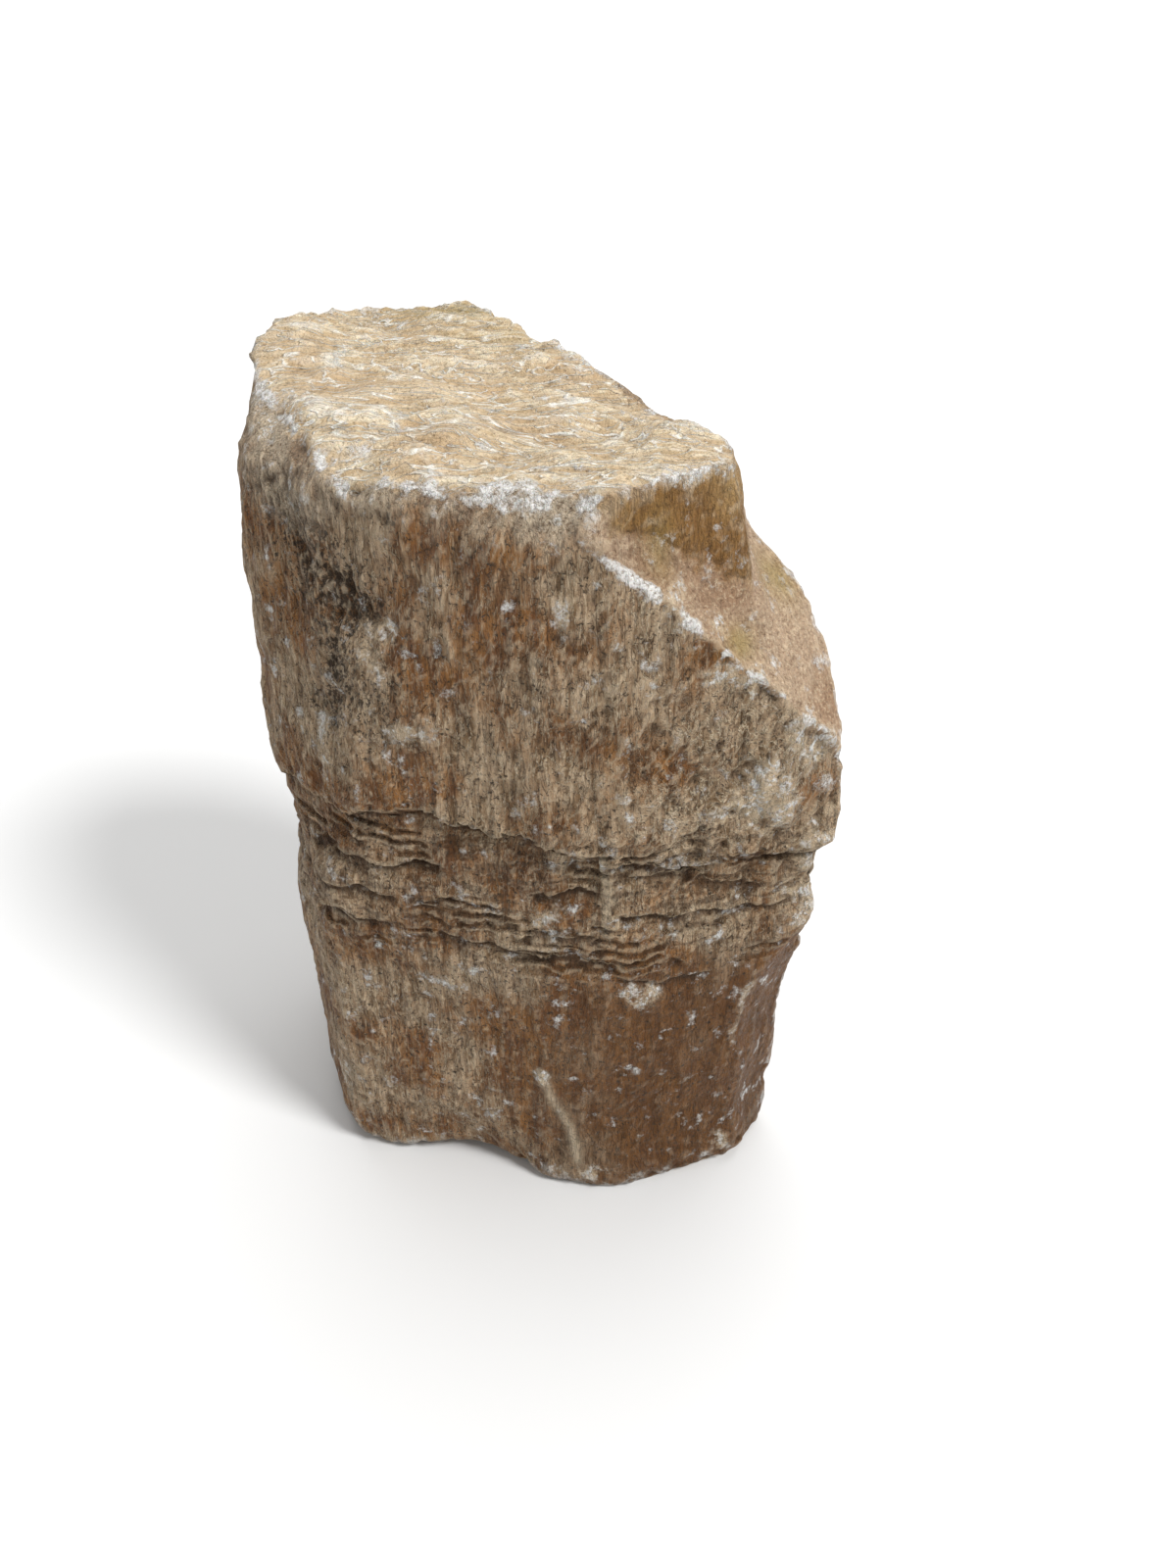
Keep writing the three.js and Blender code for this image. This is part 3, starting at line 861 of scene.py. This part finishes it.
# The sides: clear amber under a patchy frost, broken up by upright ticks or by grit.
amber = s.mix(s.ramp(streaks, 0.4, 0.6), AMBER_DEEP, AMBER)
frost = s.mix(s.ramp(streaks, 0.38, 0.6), HAZE_DARK, HAZE)
frost_level = s.math("ADD", patches, s.times(is_frosted, 0.13))
frost_level = s.math("SUBTRACT", frost_level, s.times(is_clear, 0.15))
frost_level = s.math("SUBTRACT", frost_level, s.times(is_low, 0.13))
side_colour = s.mix(s.ramp(frost_level, 0.37, 0.6), amber, frost)
texture = s.mix(s.ramp(is_hackly, 0.1, 0.5), ticks, grit)
lines = s.mix(s.ramp(is_hackly, 0.15, 0.6), fibre_lines, flake_lines)
dusty = s.times(s.ramp(is_low, 0.0, 1.0, 1.0, 0.35), s.ramp(frost_level, 0.36, 0.58, 0.45, 1.0))
side_colour = s.mix(s.ramp(texture, 0.46, 0.34, 0.0, 0.5), side_colour, DARK)
side_colour = s.mix(s.times(s.ramp(texture, 0.52, 0.68, 0.0, 0.5), dusty), side_colour, TAN_LIGHT)
side_colour = s.mix(s.times(gap_lines, 0.5), side_colour, DARK)
line_share = s.times(s.ramp(is_hackly, 0.1, 0.8, 0.7, 1.0), dusty)
side_colour = s.mix(s.times(lines, line_share), side_colour, TAN_LIGHT)
side_colour = s.mix(s.times(is_belt, s.ramp(bands, 0.5, 0.42, 0.0, 0.5)), side_colour, DARK)
# Deeper, more saturated amber on the low right flank: partly its own glassy colour, partly painted shade on
# this downward-facing side.
side_colour = s.mix(s.times(is_low, 0.72), side_colour, LOW_AMBER_AND_SHADE)
side_colour = s.mix(s.times(is_pitted, 0.35), side_colour, DARK)
pit_level = s.math("ADD", grit, s.times(is_pitted, 0.17))
side_colour = s.mix(s.times(is_pitted, s.ramp(flecks, 0.5, 0.62, 0.0, 0.8)), side_colour, BEVEL_GREY)
side_colour = s.mix(s.ramp(pit_level, 0.57, 0.66, 0.0, 0.9), side_colour, PIT)

# The bevels along the top: greyer and duller than the sides.
bevel_colour = s.mix(s.ramp(patches, 0.4, 0.56, 0.4, 0.9), side_colour, BEVEL_GREY)
bevel_colour = s.mix(s.ramp(fine, 0.5, 0.38, 0.0, 0.6), bevel_colour, HAZE_DARK)
stone_colour = s.mix(is_bevel, side_colour, bevel_colour)

# The top: cream, with bright splinters and brown between them.
top_colour = s.mix(s.ramp(splinter_lines, 0.4, 0.6), CREAM_DARK, CREAM)
top_colour = s.mix(s.ramp(is_splinter, 0.35, 0.0, 0.0, 0.45), top_colour, CREAM_BROWN)
top_colour = s.mix(s.ramp(is_splinter, 0.6, 1.0, 0.0, 0.45), top_colour, CREAM_LIGHT)
top_colour = s.mix(s.ramp(patches, 0.5, 0.6, 0.0, 0.6), top_colour, CREAM_BROWN)
top_colour = s.mix(s.ramp(fine, 0.46, 0.36, 0.0, 0.25), top_colour, CREAM_SHADOW)
top_crests = s.math("MAXIMUM", wide_crests, s.times(fine_crests, 0.85))
top_colour = s.mix(s.times(top_crests, s.ramp(crust, 0.36, 0.5, 0.3, 1.0)), top_colour, CREAM_LIGHT)
stone_colour = s.mix(is_top, stone_colour, top_colour)

# The broken corner.
slope_brown = s.math("MAXIMUM", is_brown, s.ramp(patches, 0.48, 0.42, 0.0, 0.6))
slope_colour = s.mix(slope_brown, PINK_TAN, SLOPE_BROWN)
slope_colour = s.mix(s.ramp(fine, 0.52, 0.62, 0.0, 0.5), slope_colour, TAN_LIGHT)
slope_colour = s.mix(s.ramp(fine, 0.46, 0.36, 0.0, 0.45), slope_colour, SLOPE_BROWN)
stone_colour = s.mix(is_slope, stone_colour, slope_colour)
wall_colour = s.mix(s.ramp(patches, 0.36, 0.62), WALL_BROWN, WALL_TAN)
wall_colour = s.mix(s.ramp(ticks, 0.46, 0.36, 0.0, 0.3), wall_colour, AMBER_DEEP)
stone_colour = s.mix(is_wall, stone_colour, wall_colour)
stone_colour = s.mix(s.times(is_olive, 0.65), stone_colour, OLIVE)
# A little painted shade in the crease at the foot of the wall.
stone_colour = s.mix(s.times(is_wall_foot, 0.15), stone_colour, AMBER_DEEP)

# Painted shade and highlight: crevices and the undersides of the lips are darkened as if in shadow, and
# high points are lightened as if lit.
stone_colour = s.mix(s.times(is_painted_crevice_shade, s.ramp(is_top, 0, 1, 0.7, 0.3)), stone_colour, DARK)
# Painted shadow under the lips.
stone_colour = s.mix(s.times(is_painted_lip_shadow, 0.8), stone_colour, DARK)
# Painted highlight on the high points, weaker towards the low right.
high_point_highlight = s.times(s.ramp(is_high, 0.5, 1.0, 0.0, 0.35), s.ramp(is_low, 0.0, 1.0, 1.0, 0.4))
stone_colour = s.mix(high_point_highlight, stone_colour, TAN_LIGHT)
stone_colour = s.mix(s.times(is_vein, 0.85), stone_colour, CREAM)


def crusted(share, lift, low, high, end=1.0):
    """Crusty patches, which grow where the share is high, because it lifts the noise that they follow."""
    return s.ramp(s.math("ADD", crust, s.times(share, lift)), low, high, 0.0, end)


# White where the stone is bruised, worn or bitten at a rim, with a pale haze round the bruises.
haze = s.times(crusted(is_bruise, 0.12, 0.5, 0.72, 0.75), s.ramp(is_bruise, 0.05, 0.5))
stone_colour = s.mix(haze, stone_colour, TAN_LIGHT)
bruise_patches = s.times(crusted(is_bruise, 0.15, 0.55, 0.66), s.ramp(is_bruise, 0.1, 0.5))
bruise_amount = s.times(s.ramp(flecks, 0.5, 0.6), bruise_patches)
wear_amount = s.times(crusted(is_worn, 0.12, 0.57, 0.7), s.ramp(is_worn, 0.2, 0.7))
rim_amount = crusted(is_rim, 0.22, 0.57, 0.7)
whiteness = s.math("MAXIMUM", s.times(bruise_amount, 0.9), s.times(wear_amount, 0.5))
whiteness = s.math("MAXIMUM", whiteness, s.times(rim_amount, 0.95))
whiteness = s.times(whiteness, s.ramp(fine, 0.4, 0.5, 0.5, 1.0))
stone_colour = s.mix(whiteness, stone_colour, WHITE)
stone_colour = s.mix(s.ramp(fine, 0.45, 0.35, 0.0, 0.4), stone_colour, DARK)

# How rough the surface is, and its finest relief as a bump.
glassy = s.math("MAXIMUM", s.times(is_low, 0.7), is_clear)
roughness = s.math("SUBTRACT", s.ramp(fine, 0.4, 0.6, 0.6, 0.85), s.times(glassy, 0.25))
rough_side = s.ramp(is_top, 0, 0.6, 1.0, 0.2)
smooth_slope = s.ramp(is_slope, 0, 0.6, 1.0, 0.3)
side_depth = s.math("SUBTRACT", s.math("ADD", texture, s.times(lines, 0.35)), s.times(gap_lines, 0.5))
side_depth = s.times(s.times(side_depth, rough_side), smooth_slope)
top_depth = s.times(s.math("ADD", s.times(splinter_lines, 0.9), s.times(top_crests, 0.4)), is_top)
grain = s.math("ADD", side_depth, top_depth)
grain = s.math("ADD", grain, s.times(s.times(fine, 0.8), s.ramp(is_top, 0.0, 1.0, 1.0, 0.5)))
grain = s.math("ADD", grain, s.times(s.times(crust, 1.3), smooth_slope))
grain = s.math("ADD", grain, s.times(whiteness, 0.2))
bump = s.nodes.new("ShaderNodeBump")
bump.inputs["Strength"].default_value = 1.0
bump.inputs["Distance"].default_value = 0.0016
s.put(bump.inputs["Height"], grain)

s.put(s.surface.inputs["Base Color"], stone_colour)
s.put(s.surface.inputs["Roughness"], roughness)
s.put(s.surface.inputs["Normal"], bump.outputs["Normal"])
s.surface.inputs["Specular IOR Level"].default_value = 0.3
s.surface.inputs["Subsurface Weight"].default_value = 0.06
s.surface.inputs["Subsurface Radius"].default_value = (1.0, 0.62, 0.34)
s.surface.inputs["Subsurface Scale"].default_value = 0.002
mesh.materials.append(s.material)

# The floor, the light and the camera.
bpy.ops.mesh.primitive_plane_add(size=60)
floor = bpy.context.object
floor.name = "floor"
pale = Shader("pale_floor")
pale.surface.inputs["Base Color"].default_value = (0.76, 0.76, 0.755, 1)
pale.surface.inputs["Roughness"].default_value = 0.9
floor.data.materials.append(pale.material)


def sun(name, from_azimuth, elevation, strength, angle):
    """Soft light from far off. An azimuth of 0 is in front of the stone and 90 to its right."""
    light = bpy.data.lights.new(name, "SUN")
    light.energy = strength
    light.angle = math.radians(angle)
    holder = bpy.data.objects.new(name, light)
    bpy.context.scene.collection.objects.link(holder)
    holder.rotation_euler = (math.radians(90 - elevation), 0, math.radians(from_azimuth))


sun("key", 56, 50, 2.6, 16)
sun("overhead", 170, 72, 1.5, 45)

scene = bpy.context.scene
world = bpy.data.worlds.new("studio")
world.use_nodes = True
world.node_tree.nodes["Background"].inputs["Color"].default_value = (1, 1, 1, 1)
world.node_tree.nodes["Background"].inputs["Strength"].default_value = 0.42
scene.world = world
scene.view_settings.view_transform = "Standard"
scene.view_settings.look = "None"

# The camera of the photo: its eye in face coordinates, how many degrees it looks down, and its focal length
# and the height of the photo in pixels.
EYE = (10, -339, 366)
LOOK_DOWN = 36
FOCAL_LENGTH = 1300
PHOTO_HEIGHT = 1600
SENSOR = 36
camera = bpy.data.cameras.new("camera")
camera.sensor_width = SENSOR
camera.lens = SENSOR * FOCAL_LENGTH / PHOTO_HEIGHT
camera.clip_start = 0.01
eye = bpy.data.objects.new("camera", camera)
bpy.context.scene.collection.objects.link(eye)
eye.location = (EYE - FOOTPRINT_MIDDLE) * MM
eye.rotation_euler = (math.radians(90 - LOOK_DOWN), 0, 0)
scene.camera = eye
